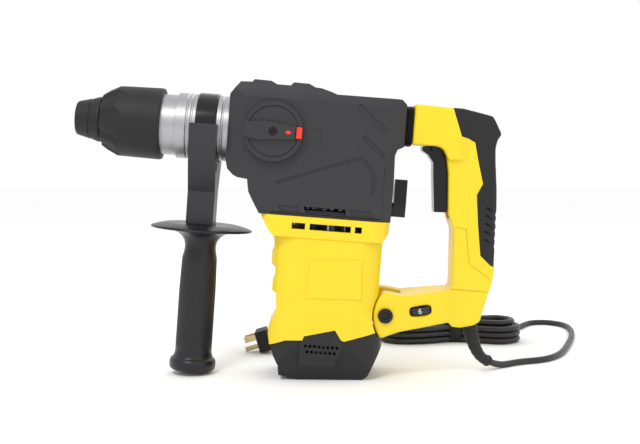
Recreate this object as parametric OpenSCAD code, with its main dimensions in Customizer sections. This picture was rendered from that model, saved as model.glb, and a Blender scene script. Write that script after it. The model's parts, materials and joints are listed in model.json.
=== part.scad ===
// Rotary hammer: an L-shaped body with an upright motor, a keyless chuck, a swivelling side
// handle and a sprung rear handle. It stands on the slanted foot of its motor housing.
// Tool frame: X runs along the spindle with the rear handle at +X, Z is up along the motor.
// The whole tool is then leaned back so that the flat of its foot lies on the floor, Z = 0.

/* [Stance] */
// Angle between the foot and the spindle, in degrees
lean = 4.3; // [0:0.1:6]
// Height of the spindle axis over the foot
axis_h = 213; // [206:1:256]
// Height of the seam between the motor housing and the gear cover
seam_h = 142; // [139:1:146]

/* [Housings] */
// Half the width of the gear cover
cover_half_w = 40; // [39:0.5:48]
// Half the width of the motor housing
motor_half_w = 43; // [42:0.5:52]
// Wall thickness of the plastic shells
wall = 3; // [2.5:0.1:3.6]
// Length of the silver collar in front of the gear cover
collar_l = 60.5; // [58:0.5:73]
// Radius of the silver collar
collar_r = 29; // [28:0.25:30]
// Radius of the selector knob
knob_r = 25.7; // [21:0.1:27]

/* [Chuck] */
// Radius of the bore that takes the tool shank
shank_bore_r = 5.05; // [4:0.05:6]
// Length of the plain front stretch of that bore
shank_bore_l = 20; // [12:1:24]
// Radius of the pull-back sleeve at its body
sleeve_r = 31; // [30:0.5:37]
// Length of the sleeve without its dome
sleeve_l = 39; // [32:1:40]
// Travel of the sleeve
sleeve_travel = 8; // [6:0.5:9]
// Radius of the locking balls
ball_r = 3.5; // [3:0.1:4]

/* [Hammer mechanism] */
// Bore radius of the hammer tube
tube_bore_r = 16; // [13.3:0.1:16.5]
// Wall thickness of the hammer tube
tube_wall = 3; // [2.5:0.1:3.4]
// Throw of the crank
crank_throw = 9; // [7.5:0.1:9]
// Length of the connecting rod between its pins
rod_l = 62; // [60:0.5:66]
// Length of the striker
striker_l = 32; // [26:1:34]
// Radius of the impact bolt
bolt_r = 9; // [7.5:0.1:10]
// Tooth size of the spur gears
gear_module = 1.25; // [1.04:0.01:1.3]

/* [Motor] */
// Position of the motor axis along the tool
motor_x = -8; // [-9:0.5:-7]
// Radius of the stator
stator_r = 37; // [31:0.5:37.5]
// Height of the stator
stator_h = 58; // [48:1:60]
// Radius of the armature core
core_r = 22; // [18:0.5:26]
// Radius of the motor shaft
shaft_r = 5; // [4:0.1:5.5]

/* [Side handle] */
// Position of the side grip's axis along the tool
side_x = -124; // [-125:0.5:-123]
// Width of the clamp strap
strap_w = 17.5; // [14.5:0.5:19]
// Width of the saddle
saddle_w = 24; // [20:0.5:25]
// Radius of the side grip
grip_r = 16.4; // [14:0.1:19.7]
// Length of the side grip below its flange
grip_l = 129; // [107:1:129]
// Radius of the depth gauge hole
gauge_r = 4.1; // [3.4:0.1:5]

/* [Rear handle] */
// Half the width of the rear grip
rear_grip_half_w = 19; // [17:0.5:22]
// Radius of the hinge bolt of the handle
hinge_r = 5; // [4:0.1:6]
// Half the width of the trigger
trigger_half_w = 10; // [8:0.5:12]
// Radius of the speed dial
dial_r = 12; // [10:0.5:12.5]

/* [Cord] */
// Diameter of the power cord
cord_d = 6; // [6:0.1:6.2]

/* [Fits] */
// Clearance of a shaft in its bearing
run_gap = 0.08; // [0.03:0.01:0.1]
// Clearance between parts that pass each other
part_gap = 0.4; // [0.3:0.05:0.6]

/* [Hidden] */

// Resolution of round faces
$fn = 48;
// Overrun of a cut past the face it opens
over = 1;

// Helpers. Outlines are [x, z] seen from the side, [y, z] from the front or [x, y] from above.
module leaned() rotate([0, lean, 0]) children();
module side_plate(points, y0, y1) translate([0, y1, 0]) rotate([90, 0, 0])
    linear_extrude(y1 - y0) polygon(points);
module front_plate(points, x0, x1) translate([x0, 0, 0]) rotate([90, 0, 90])
    linear_extrude(x1 - x0) polygon(points);
module plan_plate(points, z0, z1) translate([0, 0, z0]) linear_extrude(z1 - z0) polygon(points);
module block(x0, x1, y0, y1, z0, z1) translate([x0, y0, z0]) cube([x1 - x0, y1 - y0, z1 - z0]);
module rod_x(x0, x1, r, z = axis_h, y = 0) translate([x0, y, z]) rotate([0, 90, 0])
    cylinder(h = x1 - x0, r = r);
module rod_y(y0, y1, r, x, z) translate([x, y1, z]) rotate([90, 0, 0]) cylinder(h = y1 - y0, r = r);
module rod_z(z0, z1, r, x, y = 0) translate([x, y, z0]) cylinder(h = z1 - z0, r = r);
// Turned part on the spindle axis; profile points are [radius, x]
module turned_x(profile) translate([0, 0, axis_h]) rotate([0, 90, 0])
    rotate_extrude() polygon(profile);
module turned_z(profile, x) translate([x, 0, 0]) rotate_extrude() polygon(profile);
function mirrored(half) = concat(half, [for (i = [len(half) - 1:-1:0]) [-half[i][0], half[i][1]]]);
function unit(v) = v / norm(v);
function arc(centre, r, a0, a1, n) = [for (i = [0:n]) let (a = a0 + (a1 - a0) * i / n)
    centre + r * [cos(a), sin(a)]];
// Rounded rectangle seen from above
function round_rect(x0, x1, y, r, n = 6) = concat(
    arc([x1 - r, y - r], r, 0, 90, n), arc([x0 + r, y - r], r, 90, 180, n),
    arc([x0 + r, r - y], r, 180, 270, n), arc([x1 - r, r - y], r, 270, 360, n));

// Swept tube along a path, with one radius a point
function carried(n, t) = unit(n - t * (n * t));
function normals(t, i, n) = i == len(t) ? [] : let (m = carried(n, t[i])) concat([m], normals(t, i + 1, m));
module swept_tube(path, radii, sides, start_normal) {
    last = len(path) - 1;
    t = [for (i = [0:last]) unit(path[min(i + 1, last)] - path[max(i - 1, 0)])];
    n = normals(t, 0, start_normal);
    points = [for (i = [0:last]) for (j = [0:sides - 1]) let (a = 360 * j / sides)
        path[i] + radii[i] * (n[i] * cos(a) + cross(t[i], n[i]) * sin(a))];
    sides_faces = [for (i = [0:last - 1]) for (j = [0:sides - 1]) let (k = (j + 1) % sides)
        for (f = [[i * sides + j, i * sides + k, (i + 1) * sides + k],
            [i * sides + j, (i + 1) * sides + k, (i + 1) * sides + j]]) f];
    ends = [[for (j = [sides - 1:-1:0]) j], [for (j = [0:sides - 1]) last * sides + j]];
    polyhedron(points, concat(sides_faces, ends));
}
// Rounded path through chosen points, three steps a span
function spline_point(p0, p1, p2, p3, t) = 0.5 * (2 * p1 + (p2 - p0) * t
    + (2 * p0 - 5 * p1 + 4 * p2 - p3) * t * t + (3 * p1 - p0 - 3 * p2 + p3) * t * t * t);
function spline(p, steps) = let (last = len(p) - 1) concat([for (i = [0:last - 1])
    for (s = [0:steps - 1]) spline_point(p[max(i - 1, 0)], p[i], p[i + 1], p[min(i + 2, last)], s / steps)],
    [p[last]]);
// Coil spring along X about the point given
spring_steps = 12;
spring_sides = 6;
module coil_spring(x0, x1, r, wire_r, turns, z = axis_h) {
    n = turns * spring_steps;
    path = [for (i = [0:n]) let (a = 360 * i / spring_steps)
        [x0 + wire_r + (x1 - x0 - 2 * wire_r) * i / n, r * cos(a), z + r * sin(a)]];
    swept_tube(path, [for (p = path) wire_r], spring_sides, [0, 1, 0]);
}
// Straight-sided spur gear with its first tooth at the angle given
tooth_share = 0.36;
tip_share = 0.2;
module spur_outline(teeth, size, first) {
    root_r = size * (teeth / 2 - 1.2);
    tip_r = size * (teeth / 2 + 0.85);
    step = 360 / teeth;
    polygon([for (i = [0:teeth - 1]) for (q = [[-1, 0], [-1, 1], [1, 1], [1, 0]])
        let (r = q[1] == 0 ? root_r : tip_r, share = q[1] == 0 ? tooth_share * 1.15 : tip_share,
            half = step * share * (q[1] == 0 ? 0.62 : 0.5), a = first + i * step + q[0] * half)
        r * [cos(a), sin(a)]]);
}
module spur_gear(x, z0, z1, teeth, size, first) translate([x, 0, z0])
    linear_extrude(z1 - z0) spur_outline(teeth, size, first);

// Gear cover: side, front and top outlines. Its shape is what all three leave.
cover_front_x = -104;
cover_rear_x = 49.5;
cover_top = [
    [cover_front_x, axis_h - 27.7], [cover_front_x, axis_h + 30], [-98.6, axis_h + 37],
    [-95.3, axis_h + 41.3], [-85.5, axis_h + 41.6], [-83.9, axis_h + 44], [-69.5, axis_h + 43.7],
    [-63.9, axis_h + 40.9], [-52.2, axis_h + 40.9], [-49.8, axis_h + 43.8], [-36.3, axis_h + 43.5],
    [-30.7, axis_h + 40.7], [-25.3, axis_h + 40.3], [-17.9, axis_h + 38.2], [-11.4, axis_h + 35.8],
    [45, axis_h + 35.8], [cover_rear_x, axis_h + 32], [cover_rear_x, axis_h - 5],
    [44, axis_h - 7.6], [42, axis_h - 13], [43, seam_h + 30]];
cover_low_front = [
    [-72.6, seam_h + 1.7], [-77.8, seam_h + 10.2], [-82, seam_h + 18], [-83.6, seam_h + 26.8],
    [-83.6, seam_h + 28.6], [-92.8, seam_h + 29.7], [-96.5, seam_h + 31.3],
    [-102.2, seam_h + 36.3]];
function cover_side(bottom) = concat(cover_top, [[42.5, bottom],
    [-71.5 + 0.4 * (seam_h - bottom), bottom]], cover_low_front);
function cover_section(bottom) = mirrored([[cover_half_w, bottom], [cover_half_w, axis_h + 29],
    [cover_half_w - 4, axis_h + 34], [cover_half_w - 11, axis_h + 46]]);
cover_plan = mirrored_plan([[cover_front_x - over, 31], [-98, 36], [-90, cover_half_w],
    [34, cover_half_w], [42, cover_half_w - 6], [cover_rear_x + over, cover_half_w - 13]]);
function mirrored_plan(half) = concat(half, [for (i = [len(half) - 1:-1:0]) [half[i][0], -half[i][1]]]);
module cover_body() intersection() {
    side_plate(cover_side(seam_h), -cover_half_w, cover_half_w);
    front_plate(cover_section(seam_h), cover_front_x, cover_rear_x);
    plan_plate(cover_plan, seam_h, axis_h + 46);
}
cavity_bottom = seam_h - 2 * wall;
module cover_cavity() intersection() {
    translate([0, cover_half_w, 0]) rotate([90, 0, 0]) linear_extrude(2 * cover_half_w)
        offset(delta = -wall) polygon(cover_side(cavity_bottom - wall));
    translate([cover_front_x, 0, 0]) rotate([90, 0, 90]) linear_extrude(cover_rear_x - cover_front_x)
        offset(delta = -wall) polygon(cover_section(cavity_bottom - wall));
    translate([0, 0, cavity_bottom]) linear_extrude(axis_h + 46 - cavity_bottom)
        offset(delta = -wall) polygon(cover_plan);
}
// Relief on each side of the cover: a raised lower panel with sloping borders, then what is cut into it
relief = 1.6;
cut_depth = 1.2;
panel_foot = [[-68.6, seam_h + 2], [-79.9, seam_h + 36.2], [-36.4, seam_h + 57.8], [7.7, seam_h + 71.9],
    [17.5, seam_h + 70.4], [33.8, seam_h + 50], [33.8, seam_h + 2]];
panel_top = [[-57.9, seam_h + 3], [-67.2, seam_h + 25.2], [-62, seam_h + 34.4], [-29.3, seam_h + 48.7],
    [16.8, seam_h + 65], [33.2, seam_h + 48], [33.8, seam_h + 3]];
panel_groove = [[-59.3, seam_h + 28.9], [13.9, seam_h + 56.2], [25.4, seam_h + 42.4], [26.3, seam_h + 23.6],
    [23.5, seam_h + 23.5], [22.6, seam_h + 41.2], [12.7, seam_h + 52.8], [-58.3, seam_h + 26.3]];
// Vents of the panel: front end, rear end and whether it opens
vent_slots = [[-55.5, -38.5, false], [-33.5, 2, true], [6, 25, false]];
vent_low = seam_h + 3.5;
vent_high = seam_h + 8.8;
vent_slant = 1.8;
// Two slanting stripes: middle and length
stripes = [[22, axis_h + 15.4, 38], [22.5, axis_h - 6.6, 24.6]];
stripe_w = 4.5;
stripe_tilt = 40;
pad_outline = [[-37, axis_h - 8.4], [-37, axis_h + 4.4], [-23, axis_h + 4.4], [-23, axis_h - 8.4]];
// Plate between two depths, counted outward from one side of the cover
module side_layer(side, points, low, high) side_plate(points,
    min(side * (cover_half_w + low), side * (cover_half_w + high)),
    max(side * (cover_half_w + low), side * (cover_half_w + high)));
module cover_relief(side) {
    for (s = vent_slots) side_layer(side, [[s[0], vent_high], [s[1], vent_high],
        [s[1] + vent_slant, vent_low], [s[0] + vent_slant, vent_low]], s[2] ? -2 * wall : 0, relief + over);
    side_layer(side, pad_outline, -cut_depth / 2, relief + over);
    side_layer(side, panel_groove, relief - cut_depth, relief + over);
    for (s = stripes) translate([s[0], side * (cover_half_w + relief), s[1]]) rotate([0, stripe_tilt, 0])
        cube([s[2], 2 * (relief + cut_depth), stripe_w], center = true);
}
module cover_panel(side) hull() {
    side_layer(side, panel_foot, -over, 0);
    side_layer(side, panel_top, relief - 0.02, relief);
}
knob_x = -64;
knob_shaft_r = 5;
lever_z = seam_h + 10;
lever_shaft_r = 4;
collar_spigot_r = 27;
module cover_half(side) difference() {
    union() {
        intersection() {
            cover_body();
            block(cover_front_x - over, cover_rear_x + over, side < 0 ? -2 * cover_half_w : 0,
                side < 0 ? 0 : 2 * cover_half_w, 0, axis_h + 60);
        }
        cover_panel(side);
    }
    cover_cavity();
    cover_relief(side);
    rod_x(cover_front_x - over, cover_front_x + 4 * wall, collar_spigot_r);
    rod_x(cover_rear_x - 5 * wall, cover_rear_x + over, lever_shaft_r + part_gap, lever_z);
    if (side < 0) rod_y(-cover_half_w - 2, -cover_half_w + 2 * wall, knob_shaft_r + part_gap, knob_x, axis_h);
    for (p = cover_screw_places) {
        rod_y(-cover_half_w + 2 * wall, 2 * cover_half_w, screw_r, p[0], p[1]);
        rod_y(cover_half_w - wall, 2 * cover_half_w, screw_head_r, p[0], p[1]);
    }
}
module gear_cover_left() color("#2f3134") leaned() cover_half(-1);
module gear_cover_right() color("#2f3134") leaned() cover_half(1);

// Screws
screw_r = 2;
screw_head_r = 3.6;
screw_head_l = 2.4;
cover_screw_places = [[-88, axis_h + 22], [33, axis_h + 22], [36, seam_h + 26], [-76, seam_h + 18]];
module housing_screws() color("#9aa0a6") leaned() {
    for (p = cover_screw_places) {
        rod_y(-8, cover_half_w - wall, screw_r, p[0], p[1]);
        rod_y(cover_half_w - wall, cover_half_w - wall + screw_head_l, screw_head_r, p[0], p[1]);
    }
}

// Collar in front of the cover: bearing seat, grooves and the seat of the side handle's strap
collar_front_x = cover_front_x - collar_l;
strap_x0 = side_x - strap_w / 2;
strap_x1 = side_x + strap_w / 2;
strap_seat_r = collar_r - 0.9;
tube_r = tube_bore_r + tube_wall;
seat_r = tube_r + 5;
seat_end_x = -136;
groove = 0.8;
module front_collar() color("#b9bcc0") leaned() turned_x([
    [seat_r, collar_front_x], [collar_r - 2.2, collar_front_x], [collar_r - 2.2, -150.7],
    [collar_r, -150.7], [collar_r, -142], [collar_r - groove, -141.5], [collar_r - groove, -140.5],
    [collar_r, -140], [collar_r, -138], [collar_r - groove, -137.5], [collar_r - groove, -136.5],
    [collar_r, -136], [collar_r, strap_x0 - part_gap], [strap_seat_r, strap_x0 - part_gap],
    [strap_seat_r, strap_x1 + part_gap], [collar_r, strap_x1 + part_gap], [collar_r, -111],
    [collar_r - groove, -110.5], [collar_r - groove, -109.5], [collar_r, -109],
    [collar_r, cover_front_x], [collar_spigot_r, cover_front_x],
    [collar_spigot_r, cover_front_x + 2.2 * wall], [tube_r + 2, cover_front_x + 2.2 * wall],
    [tube_r + 2, seat_end_x], [seat_r, seat_end_x]]);

// Motor housing: a barrel under a wider flange, closed at the back of the rear handle's arc
motor_side = [
    [-70.6, seam_h], [-62.9, 129], [-59, 124.8], [-57.2, 119.6], [-56.2, 110.5],
    [-58.6, 109.4], [-58.6, 98.6], [-54.5, 96], [-54, 87], [-56, 85], [-56, 75], [-52, 73],
    [-50.7, 56.5], [-55.1, 47], [-56.8, 44.2], [-56.7, 36.9], [-54.8, 28]];
// Line between the motor housing and the foot, front to rear
foot_line = [[-54.8, 28], [-40.8, 34], [-26.2, 35.1], [-24.8, 38.8], [1.5, 45.9], [7.3, 37.7],
    [9.9, 36.6], [40.2, 47.1]];
motor_rear = [[37.5, 77], [37.6, 125.8], [41.6, 132.4], [42, seam_h]];
barrel_x0 = -59;
barrel_x1 = 40.2;
barrel_corner = 25;
flange_low = 124;
stator_mid = 85;
module motor_body() intersection() {
    side_plate(concat(motor_side, [for (i = [1:7]) foot_line[i]], motor_rear),
        -motor_half_w, motor_half_w);
    union() {
        plan_plate(round_rect(barrel_x0, barrel_x1, motor_half_w - 1.2, barrel_corner), 0, flange_low + wall);
        plan_plate(round_rect(-71, 42.5, motor_half_w, 15), flange_low, seam_h);
        hull() {
            plan_plate(round_rect(barrel_x0, 48, motor_half_w, 22), 20, 46);
            plan_plate(round_rect(barrel_x0 + 2, barrel_x1, motor_half_w - 1.3, barrel_corner), 62, 63);
        }
    }
}
// The hinge end of the rear handle turns beside the barrel inside this arc
hinge_x = 44.7;
hinge_z = 60.3;
hinge_arc_x = 64.5;
hinge_arc_r = 30.6;
hinge_arc_gap = 0.9;
lug_r = 9;
lug_half_w = 12;
motor_slots = [[-42.5, -31], [-27, 8.5], [12, 18]];
slot_low = 131;
slot_high = 136.5;
side_pad = [[-26, 72], [-24, 105], [20, 108], [22, 74]];
pad_raise = 0.8;
module motor_housing() color("#f5b80e") leaned() difference() {
    union() {
        difference() {
            motor_body();
            rod_y(-2 * motor_half_w, 2 * motor_half_w, hinge_arc_r + hinge_arc_gap, hinge_arc_x, hinge_z);
        }
        for (s = [-1, 1]) side_plate(side_pad,
            min(s * (motor_half_w - 2), s * (motor_half_w - 1.2 + pad_raise)),
            max(s * (motor_half_w - 2), s * (motor_half_w - 1.2 + pad_raise)));
        rod_y(-lug_half_w, lug_half_w, lug_r, hinge_x, hinge_z);
        block(stator_back_x - 1, hinge_x, -lug_half_w, lug_half_w, hinge_z - 8, hinge_z + 8);
    }
    rod_z(0, seam_h - 2 * wall, stator_r, motor_x);
    translate([0, 0, seam_h - 2 * wall]) linear_extrude(2 * wall + over)
        polygon(round_rect(-66, 38, motor_half_w - wall, 12));
    for (s = motor_slots) block(s[0], s[1], -motor_half_w - over, motor_half_w + over, slot_low, slot_high);
    rod_y(-2 * lug_half_w, 2 * lug_half_w, hinge_r + run_gap, hinge_x, hinge_z);
}
stator_back_x = motor_x + stator_r;

// Foot: its flat is cut level once the tool leans
foot_half_w = motor_half_w - 2;
foot_flat_half_w = 26;
foot_outline = concat([for (p = foot_line) p], [[44.1, 31.8], [32.5, 5.4], [28, 28 * tan(lean)],
    [-29, -29 * tan(lean)], [-38.9, -0.1], [-44.9, 1.2], [-46, 10.3], [-51.2, 18.9]]);
// Raised panel with the vents on each side of the foot
foot_panel = [[-28, 10], [-28, 35], [-26.2, 35.1], [-24.8, 38.8], [1.5, 45.9], [7.3, 37.7], [9.5, 36],
    [8.9, 29.6], [3.7, 14.8], [-0.3, 10]];
panel_raise = 1.7;
foot_cut_r = stator_r - 3;
vent_r = 1.3;
module base_cap() color("#2a2b2d") leaned() difference() {
    union() {
        intersection() {
            side_plate(foot_outline, -foot_half_w, foot_half_w);
            front_plate(mirrored([[foot_flat_half_w, -10], [foot_flat_half_w + 8, 6], [foot_half_w, 24],
                [foot_half_w, 50]]), barrel_x0, 50);
            plan_plate(round_rect(-57.5, 44.2, foot_half_w, 24), -10, 60);
        }
        intersection() {
            side_plate(foot_panel, -foot_half_w - panel_raise, foot_half_w + panel_raise);
            front_plate(mirrored([[foot_half_w - 6, 10], [foot_half_w + panel_raise, 17],
                [foot_half_w + panel_raise, 50]]), barrel_x0, 50);
        }
    }
    rod_z(low_bearing_z0, 60, foot_cut_r, motor_x);
    rod_y(-2 * motor_half_w, 2 * motor_half_w, hinge_arc_r + hinge_arc_gap, hinge_arc_x, hinge_z);
    for (i = [0:7]) rod_y(-60, 60, vent_r, -23 + 3.9 * i, 30.5);
    for (i = [0:6]) rod_y(-60, 60, vent_r, -21 + 3.9 * i, 25.5);
}

// Inner frame: a plate under the gears, and a bridge over them that also holds the tube
pinion_teeth = 9;
crank_teeth = 30;
bevel_teeth = 28;
plate_low = seam_h - 1.5;
plate_high = seam_h + 5.5;
crank_x = motor_x + gear_module * (pinion_teeth + crank_teeth) / 2;
bevel_x = motor_x - gear_module * (pinion_teeth + bevel_teeth) / 2;
small_bearing_r = 8;
motor_bearing_r = 10;
bridge_low = seam_h + 23;
bridge_high = bridge_low + 7;
inner_half_w = cover_half_w - wall;
// The plate lies between the cover and the motor housing, so the narrower of the two sets its width
plate_half_w = min(cover_half_w, motor_half_w) - wall - part_gap;
module gear_plate() color("#a7abb0") leaned() difference() {
    plan_plate(round_rect(-64.5, 37.5, plate_half_w, 12), plate_low, plate_high);
    rod_z(0, seam_h * 2, motor_bearing_r, motor_x);
    rod_z(0, seam_h * 2, small_bearing_r, crank_x);
    rod_z(0, seam_h * 2, small_bearing_r, bevel_x);
}
tube_rear_x = -3;
// The wall behind the face pinion carries the rear bearing of the tube
face_pinion_teeth = 12;
face_pinion_pitch_r = 10;
face_module = 2 * face_pinion_pitch_r / face_pinion_teeth;
pinion_tip_r = face_module * (face_pinion_teeth / 2 + 0.85);
wall_x0 = bevel_x + pinion_tip_r + 1.2;
wall_x1 = -9;
holder_r = tube_r + 5;
module bearing_bridge() color("#a7abb0") leaned() difference() {
    union() {
        plan_plate(round_rect(-44, 33, inner_half_w - part_gap, 10), bridge_low, bridge_high);
        block(wall_x0, wall_x1, -holder_r - 4, holder_r + 4, bridge_high, axis_h + holder_r + 3);
    }
    rod_z(0, axis_h - tube_r, small_bearing_r, crank_x);
    rod_z(0, axis_h - tube_r, small_bearing_r, bevel_x);
    rod_x(wall_x0 - over, wall_x1 + over, holder_r);
}
// Every bearing of the rotating parts, as plain outer rings
low_bearing_z0 = 12;
low_bearing_z1 = 20;
module ring_z(z0, z1, r_out, r_in, x) difference() {
    rod_z(z0, z1, r_out, x);
    rod_z(z0 - over, z1 + over, r_in, x);
}
module ring_x(x0, x1, r_out, r_in) difference() {
    rod_x(x0, x1, r_out);
    rod_x(x0 - over, x1 + over, r_in);
}
crank_shaft_r = 5;
bevel_shaft_r = 5;
module bearings() color("#d0d3d6") leaned() {
    ring_z(low_bearing_z0, low_bearing_z1, motor_bearing_r, shaft_r + run_gap, motor_x);
    ring_z(plate_low, plate_high, motor_bearing_r, shaft_r + run_gap, motor_x);
    for (z = [[plate_low, plate_high], [bridge_low, bridge_high]]) {
        ring_z(z[0], z[1], small_bearing_r, crank_shaft_r + run_gap, crank_x);
        ring_z(z[0], z[1], small_bearing_r, bevel_shaft_r + run_gap, bevel_x);
    }
    ring_x(-148, seat_end_x, seat_r, tube_r + run_gap);
    ring_x(wall_x0, wall_x1, holder_r, tube_r + run_gap);
}
seal_x0 = -156;
module front_seal() color("#1d1e1f") leaned() ring_x(seal_x0, -149, seat_r, tube_r + run_gap);

// Motor
stator_low = stator_mid - stator_h / 2;
stator_high = stator_mid + stator_h / 2;
air_gap = 0.7;
module stator_core() color("#6f7376") leaned() difference() {
    rod_z(stator_low, stator_high, stator_r, motor_x);
    rod_z(stator_low - over, stator_high + over, core_r + air_gap, motor_x);
    for (s = [-1, 1]) translate([motor_x - 14, s * (core_r + 6) - 3, stator_low - over])
        cube([28, 6, stator_h + 2 * over]);
}
coil_h = 6;
coil_out_r = stator_r - 3;
module field_coils() color("#b5652b") leaned() for (z = [stator_low - coil_h, stator_high])
    ring_z(z, z + coil_h, coil_out_r, core_r + 2, motor_x);
commutator_r = 13;
commutator_z0 = 28;
commutator_z1 = 44;
brush_z = 36;
module brush_gear() color("#8c6a2f") leaned() {
    for (s = [-1, 1]) {
        y0 = s * (commutator_r + part_gap);
        y1 = s * (foot_cut_r - 3);
        block(motor_x - 3, motor_x + 3, min(y0, y1), max(y0, y1), brush_z - 4, brush_z + 4);
    }
    difference() {
        rod_z(low_bearing_z0, low_bearing_z0 + 4, foot_cut_r, motor_x);
        rod_z(0, 60, motor_bearing_r, motor_x);
    }
    for (s = [-1, 1]) block(motor_x - 6, motor_x + 6, min(s * (foot_cut_r - 9), s * (foot_cut_r - 3)),
        max(s * (foot_cut_r - 9), s * (foot_cut_r - 3)), low_bearing_z0 + 4, brush_z - 4);
}
gear_low = plate_high + 2.5;
gear_high = gear_low + 9;
module armature_shaft() color("#c9ccd0") leaned() {
    rod_z(low_bearing_z0 + 0.5, gear_low, shaft_r, motor_x);
    spur_gear(motor_x, gear_low, gear_high + 1, pinion_teeth, gear_module, 0);
}
module on_shaft(z0, z1, r) ring_z(z0, z1, r, shaft_r, motor_x);
module armature_core() color("#85796a") leaned() {
    difference() {
        on_shaft(stator_low + 2, stator_high - 2, core_r);
        for (i = [0:11]) translate([motor_x, 0, 0]) rotate([0, 0, 30 * i])
            translate([core_r - 1.5, -1, stator_low]) cube([3, 2, stator_h]);
    }
    on_shaft(stator_low - 3, stator_low + 2, core_r - 4);
    on_shaft(stator_high - 2, stator_high + 3, core_r - 4);
}
module commutator() color("#b87333") leaned() difference() {
    on_shaft(commutator_z0, commutator_z1, commutator_r);
    for (i = [0:11]) translate([motor_x, 0, 0]) rotate([0, 0, 30 * i])
        translate([commutator_r - 1, -0.4, commutator_z0 - over]) cube([3, 0.8, commutator_z1]);
}
fan_low = stator_high + coil_h + 4;
fan_high = plate_low - 3;
fan_r = stator_r - 3;
fan_blades = 14;
module cooling_fan() color("#dfe2e4") leaned() {
    on_shaft(fan_low, fan_low + 2, fan_r);
    on_shaft(fan_low + 2, fan_high, shaft_r + 5);
    for (i = [0:fan_blades - 1]) translate([motor_x, 0, fan_low + 1])
        rotate([0, 0, 360 * (i + 0.3) / fan_blades])
        translate([shaft_r + 4, -0.8, 0]) cube([fan_r - shaft_r - 5, 1.6, fan_high - fan_low - 2]);
}

// Crank drive
disc_r = crank_throw + 6;
disc_high = axis_h - 8;
disc_low = disc_high - 7;
module crank_shaft() color("#9da1a5") leaned() {
    rod_z(plate_low, disc_low + over, crank_shaft_r, crank_x);
    rod_z(disc_low, disc_high, disc_r, crank_x);
}
module crank_gear() color("#8b8f93") leaned() difference() {
    spur_gear(crank_x, gear_low, gear_high, crank_teeth, gear_module, 180 + 180 / crank_teeth);
    rod_z(gear_low - over, gear_high + over, crank_shaft_r, crank_x);
}
// Shown with the crank at its front dead centre
pin_x = crank_x - crank_throw;
piston_pin_x = pin_x - rod_l;
pin_r = 4;
rod_half_h = 5;
module rod_pins() color("#c9ccd0") leaned() {
    rod_z(disc_high + part_gap, axis_h + rod_half_h + 2, pin_r, pin_x);
    rod_z(axis_h - rod_half_h - 6, axis_h + rod_half_h + 6, pin_r, piston_pin_x);
}
rod_eye_r = 8;
module connecting_rod() color("#7d8185") leaned() difference() {
    union() {
        for (x = [pin_x, piston_pin_x]) rod_z(axis_h - rod_half_h, axis_h + rod_half_h, rod_eye_r, x);
        block(piston_pin_x, pin_x, -4, 4, axis_h - rod_half_h + 1, axis_h + rod_half_h - 1);
    }
    for (x = [pin_x, piston_pin_x]) rod_z(axis_h - 20, axis_h + 20, pin_r, x);
}
piston_front = 20;
piston_rear = 12;
ring_w = 3;
slide_gap = run_gap;
module piston() color("#aeb2b6") leaned() difference() {
    rod_x(piston_pin_x - piston_front, piston_pin_x + piston_rear, tube_bore_r - slide_gap);
    block(piston_pin_x - rod_eye_r - 1.5, piston_pin_x + 40, -rod_eye_r - 1.5, rod_eye_r + 1.5,
        axis_h - rod_half_h - part_gap, axis_h + rod_half_h + part_gap);
    rod_z(axis_h - 30, axis_h + 30, pin_r, piston_pin_x);
    ring_x(piston_pin_x - 15, piston_pin_x - 15 + ring_w, tube_bore_r + 2, tube_bore_r - 2);
}

// Spindle drive: a spur gear turns an upright shaft whose pinion meshes with a face gear
face_pitch_r = 30;
face_teeth = 36;
face_w = 6;
face_pinion_low = axis_h - face_pitch_r - face_w / 2;
module bevel_shaft() color("#9da1a5") leaned() {
    rod_z(plate_low, face_pinion_low, bevel_shaft_r, bevel_x);
    spur_gear(bevel_x, gear_low, gear_high, bevel_teeth, gear_module, 0);
    spur_gear(bevel_x, face_pinion_low - 2, face_pinion_low + face_w, face_pinion_teeth, face_module,
        180 + 180 / face_pinion_teeth);
}
face_pitch_x = bevel_x - face_pinion_pitch_r;
face_tip_x = face_pitch_x + 1.2;
face_root_x = bevel_x - pinion_tip_r - 0.5;
face_out_r = face_pitch_r + 4.5;
face_in_r = face_pitch_r - 4;
module ring_gear() color("#8b8f93") leaned() {
    ring_x(face_root_x - 4, face_root_x, face_out_r, tube_r);
    for (i = [0:face_teeth - 1]) translate([face_root_x - 0.5, 0, axis_h])
        rotate([360 * i / face_teeth, 0, 0])
        rotate([0, -90, 0]) mirror([0, 0, 1]) linear_extrude(face_tip_x - face_root_x + 0.5)
        polygon([[-face_out_r, -1.05], [-face_in_r, -0.75], [-face_in_r, 0.75], [-face_out_r, 1.05]]);
}
clutch_x0 = -68;
clutch_x1 = -64;
module clutch_collar() color("#9da1a5") leaned() ring_x(clutch_x0, clutch_x1, tube_r + 4.5, tube_r);
module clutch_spring() color("#c9ccd0") leaned()
    coil_spring(clutch_x1, face_root_x - 4, tube_r + 2.6, 1.1, 4);
tube_front_x = -158;
holder_tail_x = -140;
module hammer_tube() color("#c3c6c9") leaned()
    ring_x(tube_front_x, tube_rear_x, tube_r, tube_bore_r);

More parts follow.
